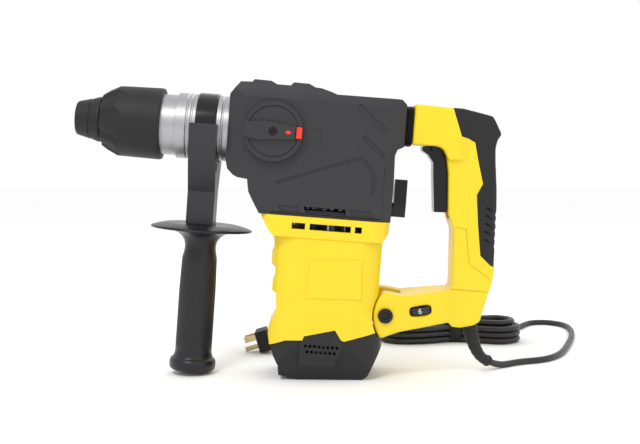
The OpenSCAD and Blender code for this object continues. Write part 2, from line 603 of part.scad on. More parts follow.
// Tool holder: plain bore, drive keys, then the chamber of the impact bolt
holder_front_x = -228;
nose_r = 12;
holder_body_r = 14;
key_bore_r = shank_bore_r + 0.55;
key_x0 = holder_front_x + shank_bore_l + 2;
key_l = 14;
chamber_x = -170;
ball_x = -203;
ball_seat_r = 9;
module tool_holder() color("#c3c6c9") leaned() {
    difference() {
        turned_x([
            [shank_bore_r, holder_front_x], [nose_r, holder_front_x], [nose_r, holder_front_x + 14],
            [holder_body_r, holder_front_x + 14], [holder_body_r, tube_front_x - 6],
            [tube_r - 1, tube_front_x - 6], [tube_r - 1, tube_front_x], [tube_bore_r, tube_front_x],
            [tube_bore_r, holder_tail_x], [bolt_r + run_gap, holder_tail_x],
            [bolt_r + run_gap, chamber_x], [key_bore_r, chamber_x],
            [key_bore_r, holder_front_x + shank_bore_l], [shank_bore_r, holder_front_x + shank_bore_l]]);
        for (s = [-1, 1]) rod_y(min(s * 4, s * 20), max(s * 4, s * 20), ball_r + 0.05, ball_x, axis_h);
    }
    for (a = [0, 180]) translate([key_x0, 0, axis_h]) rotate([a, 0, 0])
        translate([0, -1, key_bore_r - 1.1]) cube([key_l, 2, 1.6]);
}
module locking_balls() color("#d9dcdf") leaned() for (s = [-1, 1])
    translate([ball_x, s * ball_seat_r, axis_h]) sphere(r = ball_r);
cap_front_x = -241;
cap_rear_x = -218.4;
cap_mouth_r = shank_bore_r + 0.5;
module dust_cap() color("#232426") leaned() turned_x([
    [cap_mouth_r, cap_front_x], [14.4, cap_front_x], [15.2, -239.4], [17.2, -231.5], [17.9, -229.3],
    [17.1, -228.6], [17.9, -227.9], [20, -221.5], [20, -219.2], [19.2, cap_rear_x],
    [nose_r, cap_rear_x], [nose_r, holder_front_x], [cap_mouth_r + 2, holder_front_x - 3],
    [cap_mouth_r, holder_front_x - 6]]);

// Pull-back sleeve: a fluted dome, a body and a rolled lip over the collar
sleeve_front_x = -217.9;
sleeve_body_x = -203.5;
sleeve_rear_x = sleeve_body_x + sleeve_l;
sleeve_slide_r = holder_body_r + part_gap;
lip_inner_r = collar_r - 2.2 + part_gap;
flutes = 9;
flute_r = 8;
flute_depth = 2.6;
dome_slope = 29;
flute_x = -211.5 - (flute_r - flute_depth) * sin(dome_slope);
flute_z = 26.6 + (flute_r - flute_depth) * cos(dome_slope);
module chuck_sleeve() color("#2c2d2f") leaned() difference() {
    turned_x([
        [sleeve_slide_r, sleeve_front_x], [22.8, sleeve_front_x], [26.4, -212.5], [28.4, -208.6],
        [sleeve_r - 0.9, -205], [sleeve_r, sleeve_body_x], [sleeve_r + 0.8, sleeve_rear_x - 1.5],
        [sleeve_r + 0.2, sleeve_rear_x], [lip_inner_r, sleeve_rear_x],
        [lip_inner_r, collar_front_x - sleeve_travel - 1.5], [24, collar_front_x - sleeve_travel - 3.5],
        [24, -204], [sleeve_slide_r, -204]]);
    for (i = [0:flutes - 1]) translate([0, 0, axis_h]) rotate([360 * i / flutes, 0, 0])
        translate([flute_x, 0, flute_z]) rotate([0, 90 - dome_slope, 0])
        cylinder(h = 30, r = flute_r, center = true);
}
module sleeve_spring() color("#c9ccd0") leaned()
    coil_spring(-203.8, tube_front_x - 6.2, 20, 1, 5);

striker_rear_x = piston_pin_x - piston_front - 3.4;
module striker() color("#b5b8bb") leaned() difference() {
    rod_x(striker_rear_x - striker_l, striker_rear_x, tube_bore_r - slide_gap);
    ring_x(striker_rear_x - 10, striker_rear_x - 10 + ring_w, tube_bore_r + 2, tube_bore_r - 2);
}
module striker_ring() color("#1d1e1f") leaned()
    ring_x(striker_rear_x - 10, striker_rear_x - 10 + ring_w, tube_bore_r - slide_gap, tube_bore_r - 2);
bolt_rear_x = -139.5;
bolt_nose_r = 5.2;
module impact_bolt() color("#b5b8bb") leaned() turned_x([
    [0, bolt_rear_x - 37], [bolt_nose_r - 1, bolt_rear_x - 37], [bolt_nose_r, bolt_rear_x - 36],
    [bolt_nose_r, bolt_rear_x - 21], [bolt_r, bolt_rear_x - 21], [bolt_r, bolt_rear_x - 5],
    [bolt_nose_r + 1, bolt_rear_x - 4], [bolt_nose_r + 1, bolt_rear_x], [0, bolt_rear_x]]);

// Side handle
strap_r = collar_r + 1.3;
saddle_top = axis_h + 2.5;
saddle_foot = seam_h - 15;
stem_half_w = 15;
saddle_half_w = 36;
gauge_y = -18;
gauge_z = axis_h - 35;
stud_r = 4;
module clamp_strap() color("#232426") leaned()
    ring_x(strap_x0, strap_x1, strap_r, strap_seat_r + run_gap);
module handle_saddle() color("#2f3134") leaned() difference() {
    front_plate(mirrored([[stem_half_w, saddle_foot], [stem_half_w, saddle_foot + 29],
        [saddle_half_w, axis_h - 16.5], [saddle_half_w, saddle_top]]),
        side_x - saddle_w / 2 - 1, side_x + saddle_w / 2 - 1);
    rod_x(side_x - 30, side_x + 30, strap_r);
    rod_x(side_x - 30, side_x + 30, gauge_r, gauge_z, gauge_y);
    rod_z(saddle_foot - over, axis_h, stud_r, side_x);
}
module clamp_stud() color("#c9ccd0") leaned()
    rod_z(hub_top - 32, axis_h - strap_r - 0.5, stud_r, side_x);
hub_top = saddle_foot - part_gap;
side_grip_low = hub_top - 3.5 - grip_l;
flange_r = 45.5;
module side_grip() color("#26272a") leaned() turned_z([
    [stud_r + run_gap, hub_top], [34, hub_top], [39, hub_top - 1.2], [flange_r, hub_top - 3.4],
    [flange_r, hub_top - 5], [38, hub_top - 5.6], [30, hub_top - 6.4], [21, hub_top - 8.4],
    [15, hub_top - 14.2], [13.8, hub_top - 18.6], [14, hub_top - 23], [grip_r - 0.7, hub_top - 31.7],
    [grip_r, hub_top - 69], [grip_r, side_grip_low + 17.5], [grip_r + 1.1, side_grip_low + 12],
    [grip_r + 4.3, side_grip_low + 8.4], [grip_r + 4.3, side_grip_low + 1.5],
    [grip_r + 1, side_grip_low], [0, side_grip_low], [0, hub_top - 34],
    [stud_r + run_gap, hub_top - 34]], side_x);

// Selector knob
knob_gap = 0.8;
knob_back_y = -cover_half_w - relief - knob_gap;
knob_face_y = knob_back_y - 4.6;
bar_y = knob_face_y - 3.9;
knob_screw_r = 3.8;
// Grip bar over the knob: wide at the front, narrow at the pointer
knob_bar = [[-26, -6.2], [-26, 6.6], [-7, 8.6], [19, 5.2], [19, -5.6], [-4, -7], [-8, -8], [-20, -7]];
module selector_knob() color("#2a2b2e") leaned() difference() {
    union() {
        rod_y(knob_face_y, knob_back_y, knob_r, knob_x, axis_h);
        rod_y(knob_back_y, -tube_r - 6, knob_shaft_r, knob_x, axis_h);
        intersection() {
            side_plate([for (p = knob_bar) p + [knob_x, axis_h]], bar_y, knob_face_y);
            rod_y(bar_y, knob_face_y, knob_r - 0.6, knob_x, axis_h);
        }
    }
    difference() {
        rod_y(knob_face_y - over, knob_face_y + 1.2, knob_r - 3.4, knob_x, axis_h);
        rod_y(knob_face_y - 2, knob_face_y + 2, knob_r - 4.7, knob_x, axis_h);
    }
    rod_y(bar_y - over, bar_y + 2, knob_screw_r, knob_x, axis_h);
    block(knob_x + knob_r - 6.5, knob_x + knob_r + over, knob_face_y - over, knob_back_y + over,
        axis_h - 5 - part_gap, axis_h + 5 + part_gap);
}
module knob_screw() color("#8f9499") leaned() difference() {
    rod_y(bar_y + 0.5, bar_y + 2, knob_screw_r, knob_x, axis_h);
    block(knob_x - 3, knob_x + 3, bar_y, bar_y + 1.2, axis_h - 0.5, axis_h + 0.5);
}
module lock_button() color("#c8202a") leaned() block(knob_x + knob_r - 6.5 + part_gap, knob_x + knob_r - 1,
    knob_face_y - 2.6, knob_back_y - 0.3, axis_h - 5, axis_h + 5);

// Hammer lever at the back of the gear cover
module hammer_lever() color("#232426") leaned() {
    rod_x(38, 47, lever_shaft_r, lever_z);
    rod_x(44, 46, lever_shaft_r + 2.5, lever_z);
    front_plate([[-6, lever_z - 6], [6, lever_z - 6], [7.5, lever_z + 6], [6, lever_z + 27.5],
        [-6, lever_z + 27.5], [-7.5, lever_z + 6]], 46, 57);
}

// Rear handle: one closed outline for both yellow halves, a black grip over its back
handle_front_x = 57;
hand_inner = [[99.8, 85.7], [102.3, 88], [99.8, 138.5], [96.5, 146.4], [93.8, 153.5], [91, axis_h - 23],
    [88.3, axis_h - 10.3], [84.2, axis_h - 3.4], [79, axis_h - 1.8]];
grip_back_line = [[90.2, axis_h + 32.8], [92, axis_h + 27.9], [99.6, axis_h + 8.3], [105.9, axis_h + 7],
    [112.2, axis_h + 3.9], [116, axis_h - 11], [122, 181.4], [117.4, 171.3], [120.7, 145],
    [125, 118], [134.4, 110], [139.1, 108]];
handle_outer_low = [[138.2, 95.4], [134.4, 80.3], [129.9, 58.9], [124, 55], [112.8, 52.3],
    [104.9, 52.6], [101.9, 56.8], [58.3, 46.3], [48.2, 42.4]];
handle_yellow = concat([[handle_front_x, axis_h + 33.9]], grip_back_line, handle_outer_low,
    [[36, 36], [26, 60], [32, 82], [60.4, 78.9]], hand_inner, [[handle_front_x, axis_h - 2]]);
overmould_outer = [[137.1, 158.5], [135.6, 176.4], [131.9, axis_h - 10],
    [130.9, axis_h + 0.8], [132.5, axis_h + 8], [136.1, axis_h + 12.8], [126.4, axis_h + 28.2],
    [112.7, axis_h + 30.8], [99, axis_h + 33]];
overmould_outline = concat([for (p = grip_back_line) p], overmould_outer);
arm_plan = [[24, 32], [50, 32], [98, 24], [107, rear_grip_half_w], [142, rear_grip_half_w]];
grip_plan = [[60, rear_grip_half_w], [142, rear_grip_half_w]];
grip_low = 86;
grip_high = axis_h - 13;
handle_section = [[32, 30], [32, 92], [24, 130], [24, axis_h + 47]];
module handle_arc() union() {
    rod_y(-40, 40, hinge_arc_r, hinge_arc_x, hinge_z);
    block(hinge_arc_x - 12, 150, -40, 40, 0, axis_h + 40);
}
module handle_body() intersection() {
    side_plate(handle_yellow, -32, 32);
    union() {
        plan_plate(mirrored_plan(arm_plan), 20, grip_low);
        plan_plate(mirrored_plan(arm_plan), grip_high, axis_h + 40);
        plan_plate(mirrored_plan(grip_plan), grip_low - over, grip_high + over);
    }
    front_plate(mirrored(handle_section), 20, 145);
    handle_arc();
}
lower_cavity = [[60, 52], [62, 73], [100, 80], [106, 84], [104, 140], [101, 150], [98, 156],
    [96, axis_h - 23], [91.5, axis_h - 7], [88, axis_h + 2], [62, axis_h + 2],
    [62, axis_h + 29], [86, axis_h + 29],
    [94, axis_h + 4], [108, axis_h], [117, 182], [112.5, 171.5], [116, 145], [120, 116], [133, 106],
    [129.5, 82], [125.5, 61], [112, 57.5], [106.5, 58], [104, 62], [66, 53]];
shell_half_w = rear_grip_half_w - wall;
slot_half_w = trigger_half_w + part_gap + 0.2;
trigger_slot = [[60, axis_h - 4], [60, axis_h + 2.5], [88, axis_h + 2.5], [101, axis_h - 23], [106, 149],
    [92, 149], [86, axis_h - 23], [70, axis_h - 13]];
arm_tilt = 11.6;
dial_x = 75;
dial_z = 66;
dial_y = -28 + dial_r - 1.2;
dial_h = 6;
module dial_frame() translate([dial_x, dial_y, dial_z]) rotate([0, -arm_tilt, 0]) children();
handle_screw_places = [[70, axis_h + 12], [110, 138], [126, 98], [110, 70]];
module handle_half(side) difference() {
    intersection() {
        handle_body();
        block(20, 150, side < 0 ? -40 : 0, side < 0 ? 0 : 40, 0, axis_h + 60);
    }
    side_plate(lower_cavity, -shell_half_w, shell_half_w);
    side_plate(trigger_slot, -slot_half_w, slot_half_w);
    block(20, 58, -lug_half_w - part_gap - 0.4, lug_half_w + part_gap + 0.4, hinge_z - 16, hinge_z + 40);
    rod_y(-50, 50, hinge_r, hinge_x, hinge_z);
    if (side < 0) dial_frame() {
        cylinder(h = dial_h + 2, r = dial_r + 0.8, center = true);
        translate([0, -dial_r, 0]) cube([17.5, 20, dial_h + 2], center = true);
    }
    relief_seat();
    for (p = handle_screw_places) rod_y(-12, 50, screw_r, p[0], p[1]);
}
// Seat of the cord's strain relief, drawn level because its route is level
relief_r = 7;
relief_route = [[125.2, 0, 52], [127.6, 0, 41], [130, 0, 31], [133.5, 1.5, 21.5], [139, 5.5, 13.5],
    [146.5, 11, 8.4]];
relief_way = relief_route[0] - relief_route[1];
module relief_seat() rotate([0, -lean, 0]) translate(relief_route[0])
    rotate([0, atan(relief_way[0] / relief_way[2]), 0])
    translate([0, 0, -30]) cylinder(h = 30.5, r = relief_r);
module handle_left() color("#f5b80e") leaned() handle_half(-1);
module handle_right() color("#f5b80e") leaned() handle_half(1);
rib_r = 1.6;
rib_step = 7;
rib_low = 127;
module handle_overmould() color("#26272a") leaned() difference() {
    intersection() {
        side_plate(overmould_outline, -40, 40);
        plan_plate(mirrored_plan([[80, 24], [98, 24], [110, rear_grip_half_w + 1],
            [130, rear_grip_half_w + 1],
            [140, rear_grip_half_w - 6]]), 80, axis_h + 40);
    }
    for (i = [0:4]) {
        rod_y(-40, 40, rib_r, 138.9 - 0.3 * i, rib_low + rib_step * i);
        for (s = [-1, 1]) translate([136 - 0.3 * i, s * (rear_grip_half_w - 2), rib_low + rib_step * i + 2])
            rotate([0, 35, 0]) cube([8, 4, 1.4], center = true);
    }
}
socket_r = 2.9;
module hinge_bolt() color("#8f9499") leaned() difference() {
    union() {
        rod_y(-32, 32, hinge_r, hinge_x, hinge_z);
        for (y = [-34.5, 32]) rod_y(y, y + 2.5, hinge_r + 1.5, hinge_x, hinge_z);
    }
    rod_y(-35, -32, socket_r, hinge_x, hinge_z);
}
// The screws of the handle's halves, and the pin that the trigger turns on
module handle_screws() color("#8f9499") leaned() {
    for (p = handle_screw_places) rod_y(-10, shell_half_w + 2, screw_r, p[0], p[1]);
    rod_y(-shell_half_w, shell_half_w, trigger_pin_r, trigger_pin_x, trigger_pin_z);
}
module switch_module() color("#3a3c3f") leaned() block(104.5, 112, -9, 9, 152, 168);
module strain_relief() color("#222325") {
    last = 3 * (len(relief_route) - 1);
    swept_tube(spline(relief_route, 3), [for (i = [0:last]) relief_r - 0.3 - 2 * i / last], 16, [0, 1, 0]);
}
module handle_bellows() color("#202123") leaned() difference() {
    union() {
        block(cover_rear_x, handle_front_x, -21, 21, axis_h - 2, axis_h + 30);
        for (i = [0:2]) block(cover_rear_x + 0.6 + 2.5 * i, cover_rear_x + 2.2 + 2.5 * i, -23, 23,
            axis_h - 4, axis_h + 32);
    }
    block(cover_rear_x - over, handle_front_x + over, -18, 18, axis_h + 1, axis_h + 27);
}
module handle_spring() color("#c9ccd0") leaned()
    coil_spring(cover_rear_x, handle_front_x, 9, 1, 2, axis_h + 14);
trigger_outline = [[67.1, axis_h - 2.6], [67.5, axis_h - 6.5], [73, axis_h - 9.7], [78, axis_h - 16.4],
    [78.8, axis_h - 27], [82.2, 153], [93.8, 153.5], [91, axis_h - 25], [88.3, axis_h - 12],
    [84.2, axis_h - 3.4], [78, axis_h - 1]];
trigger_pin_x = 76;
trigger_pin_z = axis_h - 4;
trigger_pin_r = 1.5;
module trigger() color("#232426") leaned() difference() {
    side_plate(trigger_outline, -trigger_half_w, trigger_half_w);
    rod_y(-2 * trigger_half_w, 2 * trigger_half_w, trigger_pin_r + run_gap, trigger_pin_x, trigger_pin_z);
}
module speed_dial() color("#2a2b2e") leaned() dial_frame() difference() {
    cylinder(h = dial_h, r = dial_r, center = true);
    for (i = [0:17]) rotate([0, 0, 20 * i + 10]) translate([dial_r + 0.3, 0, 0])
        cylinder(h = dial_h + 2, r = 0.9, center = true);
}

// Power cord. It leaves the strain relief, crosses the floor and ends in a tied hank; its tail
// runs behind the tool to the plug.
cord_z = cord_d / 2;
lead_route = [[147.1, 11.4, 8], [154, 16.5, 5], [163, 24, cord_z], [180, 36, cord_z],
    [207, 50, cord_z], [226, 75, cord_z], [243, 117, cord_z], [263, 180, cord_z],
    [272, 225, cord_z], [271, 256, cord_z], [256, 274, cord_z], [236, 270, cord_z],
    [222, 248, cord_z], [208, 226, cord_z], [184, 209, cord_z], [158, 206, cord_z],
    [138, 203.2, cord_z], [122, 200.6, cord_z + 0.3], [106, 196.6, cord_z + 0.6],
    [95, 194.2, cord_z + 0.8]];
hank_x0 = 55;
hank_x1 = 205;
hank_y0 = 141;
hank_y1 = 197;
hank_low = 0.8;
hank_high = hank_low + 4 * cord_d;
hank_band = 2 * cord_d;
// Plug: its pins point forward and a little down, and the tip of the round one rests on the floor
plug_y = 103;
plug_face = [-70.4, plug_y, 10.9];
plug_tilt = 16;
plug_half_h = 10.6;
plug_half_w = 13;
plug_l = 12;
plug_cone_l = 14;
module plug_frame() translate(plug_face) rotate([0, -90 - plug_tilt, 0]) children();
tail_route = [[92, 193, 21.8], [80, 193.5, 21.6], [67, 188, 20], [52, 176, 15], [37, 160, 6.5],
    [22, 146, cord_z + 0.2], [8, 134, 4.5], [-8, 121, 10], [-24, 110, 16.5], [-35, 105, 18.6],
    [-45, plug_y, 18.2]];
module cord_tube(route) {
    path = spline(route, 3);
    swept_tube(path, [for (p = path) cord_d / 2], 8, [0, 0, 1]);
}
module cord_lead() color("#1b1b1c") cord_tube(lead_route);
module cord_tail() color("#1b1b1c") cord_tube(tail_route);
module stadium(x0, x1, y0, y1) {
    r = (y1 - y0) / 2;
    translate([x0 + r, y0]) square([x1 - x0 - 2 * r, y1 - y0]);
    for (x = [x0 + r, x1 - r]) translate([x, y0 + r]) circle(r);
}
module cord_hank() color("#1b1b1c") translate([0, 0, hank_low]) linear_extrude(hank_high - hank_low)
    difference() {
        stadium(hank_x0, hank_x1, hank_y0, hank_y1);
        stadium(hank_x0 + hank_band, hank_x1 - hank_band, hank_y0 + hank_band, hank_y1 - hank_band);
    }
tie_x = 128;
tie_w = 14;
tie_t = 0.8;
module hank_tie() color("#2a2a2c") difference() {
    block(tie_x, tie_x + tie_w, hank_y0 - tie_t, hank_y1 + tie_t, hank_low - tie_t, hank_high + tie_t);
    block(tie_x - over, tie_x + tie_w + over, hank_y0, hank_y1, hank_low, hank_high);
}
module plug_body() color("#1b1b1c") plug_frame() {
    translate([-plug_half_h, -plug_half_w, -plug_l]) cube([2 * plug_half_h, 2 * plug_half_w, plug_l]);
    translate([0, 0, -plug_l - plug_cone_l])
        cylinder(h = plug_cone_l + over, r1 = cord_d / 2 + 1.5, r2 = plug_half_h - 1);
}
// Two flat blades over one round pin
blade_l = 12;
blade_t = 1.5;
blade_y = 6.35;
blade_x0 = 2.2;
blade_x1 = 8;
round_pin_r = 2.4;
round_pin_x = -4.7;
round_pin_l = 14;
module plug_pins() color("#c9ccd0") plug_frame() {
    for (s = [-1, 1]) difference() {
        translate([blade_x0, s * blade_y - blade_t / 2, 0]) cube([blade_x1 - blade_x0, blade_t, blade_l]);
        translate([(blade_x0 + blade_x1) / 2, s * blade_y, blade_l - 3.5]) rotate([90, 0, 0])
            cylinder(h = 2 * blade_t, r = 1.3, center = true);
    }
    translate([round_pin_x, 0, 0]) cylinder(h = round_pin_l, r = round_pin_r);
}

gear_cover_left();
gear_cover_right();
front_collar();
motor_housing();
base_cap();
gear_plate();
bearing_bridge();
stator_core();
field_coils();
brush_gear();
bearings();
front_seal();
housing_screws();
armature_shaft();
armature_core();
commutator();
cooling_fan();
crank_shaft();
crank_gear();
rod_pins();
connecting_rod();
piston();
bevel_shaft();
hammer_tube();
tool_holder();
locking_balls();
dust_cap();
ring_gear();
clutch_collar();
clutch_spring();
chuck_sleeve();
sleeve_spring();
striker();
striker_ring();
impact_bolt();
handle_saddle();
clamp_strap();
clamp_stud();
side_grip();
selector_knob();
knob_screw();
lock_button();
hammer_lever();
handle_left();
handle_right();
handle_overmould();
hinge_bolt();
handle_screws();
switch_module();
strain_relief();
handle_bellows();
handle_spring();
trigger();
speed_dial();
cord_lead();
cord_hank();
hank_tie();
cord_tail();
plug_body();
plug_pins();
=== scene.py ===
"""Looks of a rotary hammer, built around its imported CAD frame. Lengths in the tables are in millimetres."""

import json
import math

import bmesh
import bpy
from mathutils import Matrix, Vector


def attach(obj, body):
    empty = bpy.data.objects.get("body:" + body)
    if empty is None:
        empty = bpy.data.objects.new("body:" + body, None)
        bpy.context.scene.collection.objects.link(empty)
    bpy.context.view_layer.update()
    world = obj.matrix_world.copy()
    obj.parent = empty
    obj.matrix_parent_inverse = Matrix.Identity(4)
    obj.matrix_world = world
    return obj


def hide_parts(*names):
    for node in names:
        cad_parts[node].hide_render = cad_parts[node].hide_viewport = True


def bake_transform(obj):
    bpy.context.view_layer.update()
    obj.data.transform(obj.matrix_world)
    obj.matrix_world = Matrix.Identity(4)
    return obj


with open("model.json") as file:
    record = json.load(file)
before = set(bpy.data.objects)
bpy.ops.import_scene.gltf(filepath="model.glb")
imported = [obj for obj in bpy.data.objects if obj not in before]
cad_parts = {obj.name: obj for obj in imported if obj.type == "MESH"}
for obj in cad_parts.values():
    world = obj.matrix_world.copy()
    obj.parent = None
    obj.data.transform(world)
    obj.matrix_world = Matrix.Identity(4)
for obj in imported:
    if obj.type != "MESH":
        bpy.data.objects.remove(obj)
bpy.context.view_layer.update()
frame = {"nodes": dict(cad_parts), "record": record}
nodes = frame["nodes"]

MM = 0.001
LEAN = math.radians(4.3)  # the tool leans back about Y as it stands on its foot
AXIS_H = 213.0  # height of the spindle axis in the tool frame
LEAN_MATRIX = Matrix.Rotation(LEAN, 4, "Y")
SPINDLE = LEAN_MATRIX @ Vector((1, 0, 0))
UP = LEAN_MATRIX @ Vector((0, 0, 1))


def tool(u, v, w):
    """A point of the tool frame, in millimetres, as a point of the row frame, in metres."""
    return LEAN_MATRIX @ (Vector((u, v, w)) * MM)


# ---------------------------------------------------------------- camera, light and floor
CAMERA_TARGET = Vector((-8, 0, 137)) * MM
CAMERA_DISTANCE = 0.95
CAMERA_ELEVATION = math.radians(3.5)
CAMERA_LENS = 59.4


def add_camera():
    data = bpy.data.cameras.new("camera")
    data.lens = CAMERA_LENS
    data.sensor_width = 36
    camera = bpy.data.objects.new("camera", data)
    back = Vector((0, -math.cos(CAMERA_ELEVATION), math.sin(CAMERA_ELEVATION)))
    camera.location = CAMERA_TARGET + back * CAMERA_DISTANCE
    camera.rotation_euler = (math.pi / 2 - CAMERA_ELEVATION, 0, 0)
    bpy.context.scene.collection.objects.link(camera)
    bpy.context.scene.camera = camera


def add_area_light(name, location, target, size, power):
    data = bpy.data.lights.new(name, "AREA")
    data.shape = "DISK"
    data.size = size
    data.energy = power
    light = bpy.data.objects.new(name, data)
    light.location = location
    aim = Vector(target) - Vector(location)
    light.rotation_euler = aim.to_track_quat("-Z", "Y").to_euler()
    bpy.context.scene.collection.objects.link(light)


def add_studio():
    bpy.context.scene.view_settings.view_transform = "Standard"
    world = bpy.data.worlds.new("studio")
    world.use_nodes = True
    background = world.node_tree.nodes["Background"]
    background.inputs["Color"].default_value = (1, 1, 1, 1)
    background.inputs["Strength"].default_value = 1.0
    bpy.context.scene.world = world
    add_area_light("key", (-0.5, -1.0, 1.3), (0, 0, 0.12), 0.45, 9)
    add_area_light("fill", (0.9, -1.1, 0.7), (0, 0, 0.12), 0.8, 1.5)
    add_area_light("rim", (0.3, 0.9, 1.0), (0, 0, 0.15), 0.8, 3)
    bpy.ops.mesh.primitive_plane_add(size=12)
    floor = bpy.context.object
    floor.name = "floor"
    floor.data.materials.append(make_floor_material())


def make_floor_material():
    material = bpy.data.materials.new("pale_floor")
    material.use_nodes = True
    shader = material.node_tree.nodes["Principled BSDF"]
    shader.inputs["Base Color"].default_value = (0.97, 0.97, 0.97, 1)
    shader.inputs["Roughness"].default_value = 1.0
    shader.inputs["Specular IOR Level"].default_value = 0.0
    return material


# ---------------------------------------------------------------- materials
def make_material(name, color, rough, metal=0.0, grain=0.15, grain_size=0.5, spread=0.12, rough_spread=0.1,
                  patch=25.0, coat=0.0, rings=None, specular=0.5):
    """A moulded or machined surface: fine grain, uneven colour and roughness, and turning rings."""
    material = bpy.data.materials.new(name)
    material.use_nodes = True
    tree = material.node_tree
    new, link = tree.nodes.new, tree.links.new
    shader = tree.nodes["Principled BSDF"]
    shader.inputs["Metallic"].default_value = metal
    shader.inputs["Coat Weight"].default_value = coat
    shader.inputs["Coat Roughness"].default_value = 0.15
    shader.inputs["Specular IOR Level"].default_value = specular
    place = new("ShaderNodeTexCoord")
    cloud = new("ShaderNodeTexNoise")
    cloud.inputs["Scale"].default_value = 1 / (patch * MM)
    cloud.inputs["Detail"].default_value = 4
    link(place.outputs["Object"], cloud.inputs["Vector"])
    tint = new("ShaderNodeMix")
    tint.data_type = "RGBA"
    tint.inputs["A"].default_value = (*[c * (1 - spread) for c in color], 1)
    tint.inputs["B"].default_value = (*[min(1, c * (1 + spread)) for c in color], 1)
    link(cloud.outputs["Fac"], tint.inputs["Factor"])
    link(tint.outputs["Result"], shader.inputs["Base Color"])
    sheen_map = new("ShaderNodeMapRange")
    sheen_map.inputs["To Min"].default_value = max(0.03, rough - rough_spread)
    sheen_map.inputs["To Max"].default_value = rough + rough_spread
    link(cloud.outputs["Fac"], sheen_map.inputs["Value"])
    link(sheen_map.outputs["Result"], shader.inputs["Roughness"])
    dots = new("ShaderNodeTexNoise")
    dots.inputs["Scale"].default_value = 1 / (grain_size * MM)
    dots.inputs["Detail"].default_value = 2
    link(place.outputs["Object"], dots.inputs["Vector"])
    height = dots.outputs["Fac"]
    if rings:
        axis, pitch, depth = rings
        along = new("ShaderNodeVectorMath")
        along.operation = "DOT_PRODUCT"
        along.inputs[1].default_value = axis
        link(place.outputs["Object"], along.inputs[0])
        lines = new("ShaderNodeTexNoise")
        lines.noise_dimensions = "1D"
        lines.inputs["Scale"].default_value = 1 / (pitch * MM)
        lines.inputs["Detail"].default_value = 3
        link(along.outputs["Value"], lines.inputs["W"])
        both = new("ShaderNodeMath")
        both.operation = "MULTIPLY_ADD"
        both.inputs[1].default_value = depth
        link(lines.outputs["Fac"], both.inputs[0])
        link(height, both.inputs[2])
        height = both.outputs["Value"]
    bump = new("ShaderNodeBump")
    bump.inputs["Strength"].default_value = grain
    bump.inputs["Distance"].default_value = 0.2 * MM
    link(height, bump.inputs["Height"])
    link(bump.outputs["Normal"], shader.inputs["Normal"])
    return material


BLACK = make_material("black_plastic", (0.021, 0.021, 0.024), 0.4, grain=0.4, grain_size=0.45, specular=0.42)
FOOT_BLACK = make_material("foot_plastic", (0.012, 0.012, 0.014), 0.42, grain=0.4, grain_size=0.45,
                           specular=0.36)
YELLOW = make_material("yellow_plastic", (0.8, 0.585, 0.006), 0.36, grain=0.16, grain_size=0.5, spread=0.03)
RUBBER = make_material("soft_rubber", (0.011, 0.011, 0.0115), 0.55, grain=0.5, grain_size=0.35, specular=0.32)
GRIP = make_material("grip_plastic", (0.011, 0.011, 0.013), 0.32, grain=0.12, grain_size=0.4, specular=0.36)
GLOSS = make_material("gloss_black", (0.004, 0.004, 0.005), 0.2, grain=0.04, rough_spread=0.05,
                      coat=0.12, specular=0.28)
ALLOY = make_material("turned_alloy", (0.4, 0.4, 0.41), 0.38, metal=0.85, grain=0.25, grain_size=0.8,
                      spread=0.06, rings=(SPINDLE, 0.35, 1.5))
STEEL = make_material("steel", (0.55, 0.56, 0.58), 0.3, metal=1.0, grain=0.12, rings=(UP, 0.3, 1.0))
BRASS = make_material("brass", (0.62, 0.5, 0.26), 0.28, metal=1.0, grain=0.06)
COPPER = make_material("copper", (0.75, 0.32, 0.13), 0.35, metal=1.0, rings=(UP, 0.4, 3.0))
DARK_CASTING = make_material("dark_casting", (0.06, 0.06, 0.065), 0.55, metal=0.6, grain=0.3, grain_size=0.8)
RED = make_material("red_plastic", (0.8, 0.03, 0.012), 0.3, grain=0.05)
WHITE_INK = make_material("white_ink", (0.7, 0.72, 0.75), 0.4, grain=0.03)
CORD = make_material("cord_sheath", (0.014, 0.014, 0.015), 0.42, grain=0.2, grain_size=0.6)
SLOT_MATERIALS = {"black_plastic": BLACK, "yellow_plastic": YELLOW, "soft_rubber": RUBBER,
                  "gloss_black": GLOSS, "turned_alloy": ALLOY, "steel": STEEL, "copper": COPPER,
                  "red_plastic": RED}


def paint(piece, material):
    piece.data.materials.clear()
    piece.data.materials.append(material)


NODE_MATERIALS = {"base_cap": FOOT_BLACK, "side_grip": GRIP, "knob_screw": GLOSS, "hinge_bolt": GLOSS,
                  "plug_pins": BRASS,
                  "chuck_sleeve": RUBBER, "dust_cap": RUBBER, "gear_plate": DARK_CASTING,
                  "handle_screws": GLOSS}


def paint_cad_nodes():
    for part in frame["record"]["subparts"]:
        paint(nodes[part["node"]], NODE_MATERIALS.get(part["node"], SLOT_MATERIALS[part["material_slot"]]))


# ---------------------------------------------------------------- mesh helpers
def new_piece(name, mesh, body, material):
    piece = bpy.data.objects.new(name, mesh)
    bpy.context.scene.collection.objects.link(piece)
    paint(piece, material)
    if body:
        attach(piece, body)
    return piece


def mesh_from_rings(name, rings, closed=True, caps=True):
    """A tube through rings of points, smooth shaded."""
    n = len(rings[0])
    points = [p for ring in rings for p in ring]
    faces = []
    for i in range(len(rings) - 1):
        for j in range(n if closed else n - 1):
            k = (j + 1) % n
            faces.append((i * n + j, i * n + k, (i + 1) * n + k, (i + 1) * n + j))
    if caps:
        faces.append(tuple(range(n - 1, -1, -1)))
        faces.append(tuple((len(rings) - 1) * n + j for j in range(n)))
    mesh = bpy.data.meshes.new(name)
    mesh.from_pydata(points, [], faces)
    mesh.polygons.foreach_set("use_smooth", [True] * len(mesh.polygons))
    mesh.update()
    return mesh


